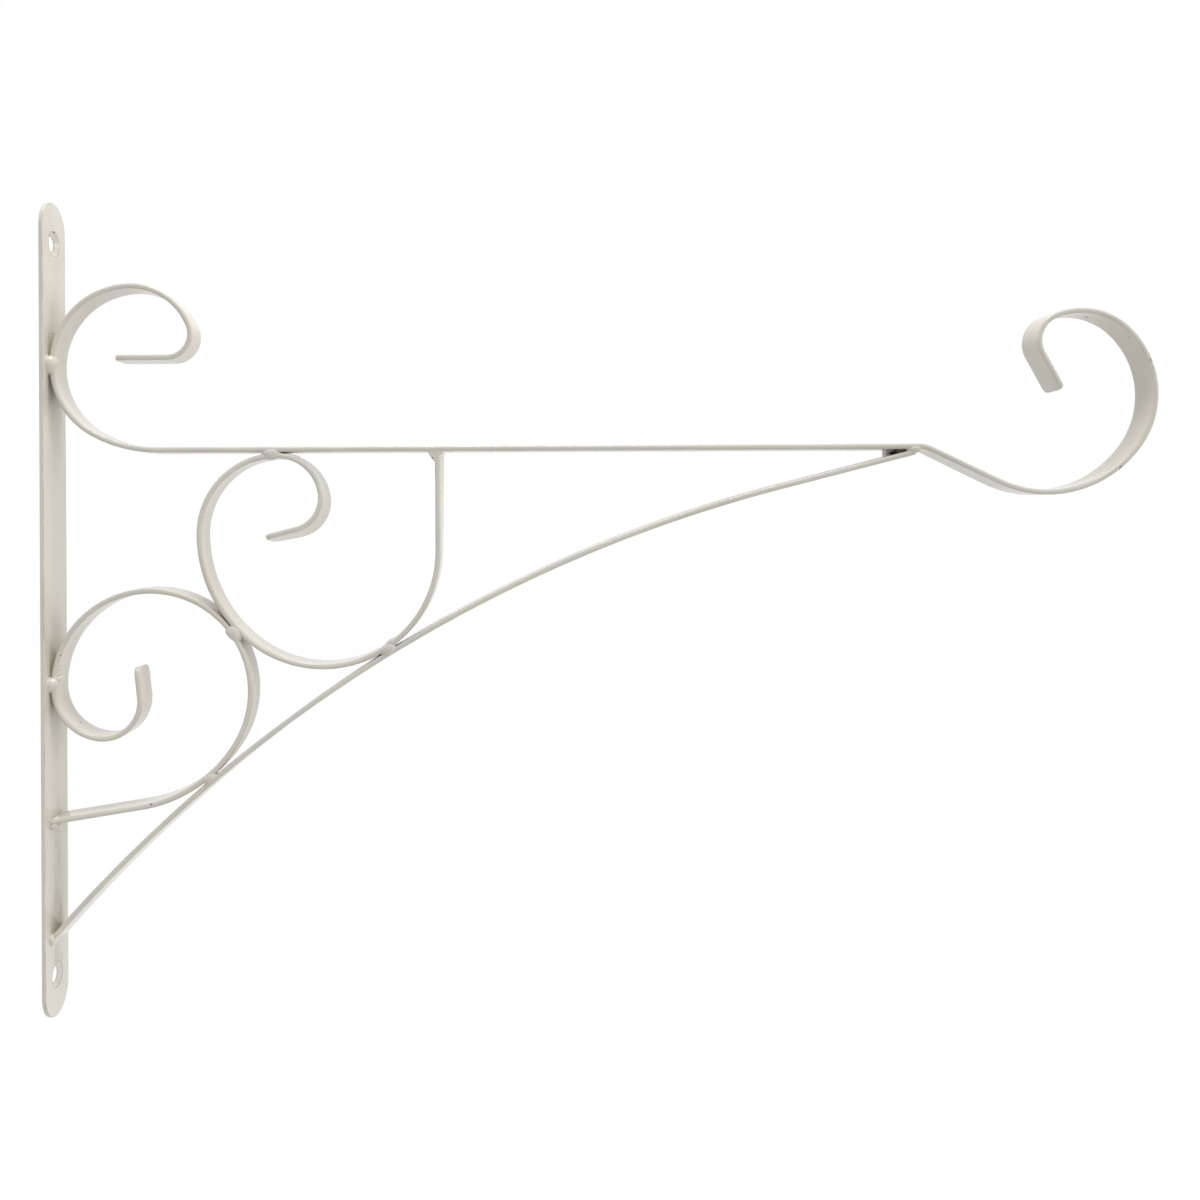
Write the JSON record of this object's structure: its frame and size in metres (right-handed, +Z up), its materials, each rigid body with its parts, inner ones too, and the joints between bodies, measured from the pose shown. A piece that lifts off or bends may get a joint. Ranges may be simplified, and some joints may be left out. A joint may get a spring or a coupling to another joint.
{
  "type": "scroll wall bracket",
  "caption": "Welded flat-bar wall bracket with a long arm, an arched brace, decorative scrolls and an up-turned end hook for a hanging basket or lantern.",
  "frame": {"origin": "back face of the wall plate, midway between its two screw holes", "axes": "+X out from the wall along the arm, +Y along the wall, +Z up"},
  "size_m": [0.4067, 0.02, 0.3],
  "materials": {
    "coated_steel": "cream powder coat, semi-gloss, over mild steel bar",
    "coated_weld": "cream powder coat over lumpy weld metal"
  },
  "bodies": {
    "root": {"wall_plate": "coated_steel", "top_arm": "coated_steel", "brace": "coated_steel", "middle_scroll": "coated_steel", "lower_scroll": "coated_steel", "weld_arm_to_plate": "coated_weld", "weld_lower_scroll_to_plate": "coated_weld", "weld_lower_tail_to_plate": "coated_weld", "weld_brace_to_plate": "coated_weld", "weld_middle_scroll_to_arm": "coated_weld", "weld_middle_tail_to_arm": "coated_weld", "weld_between_scrolls": "coated_weld", "weld_lower_scroll_to_brace": "coated_weld", "weld_middle_scroll_to_brace": "coated_weld", "weld_brace_to_arm": "coated_weld"}
  },
  "joints": []
}
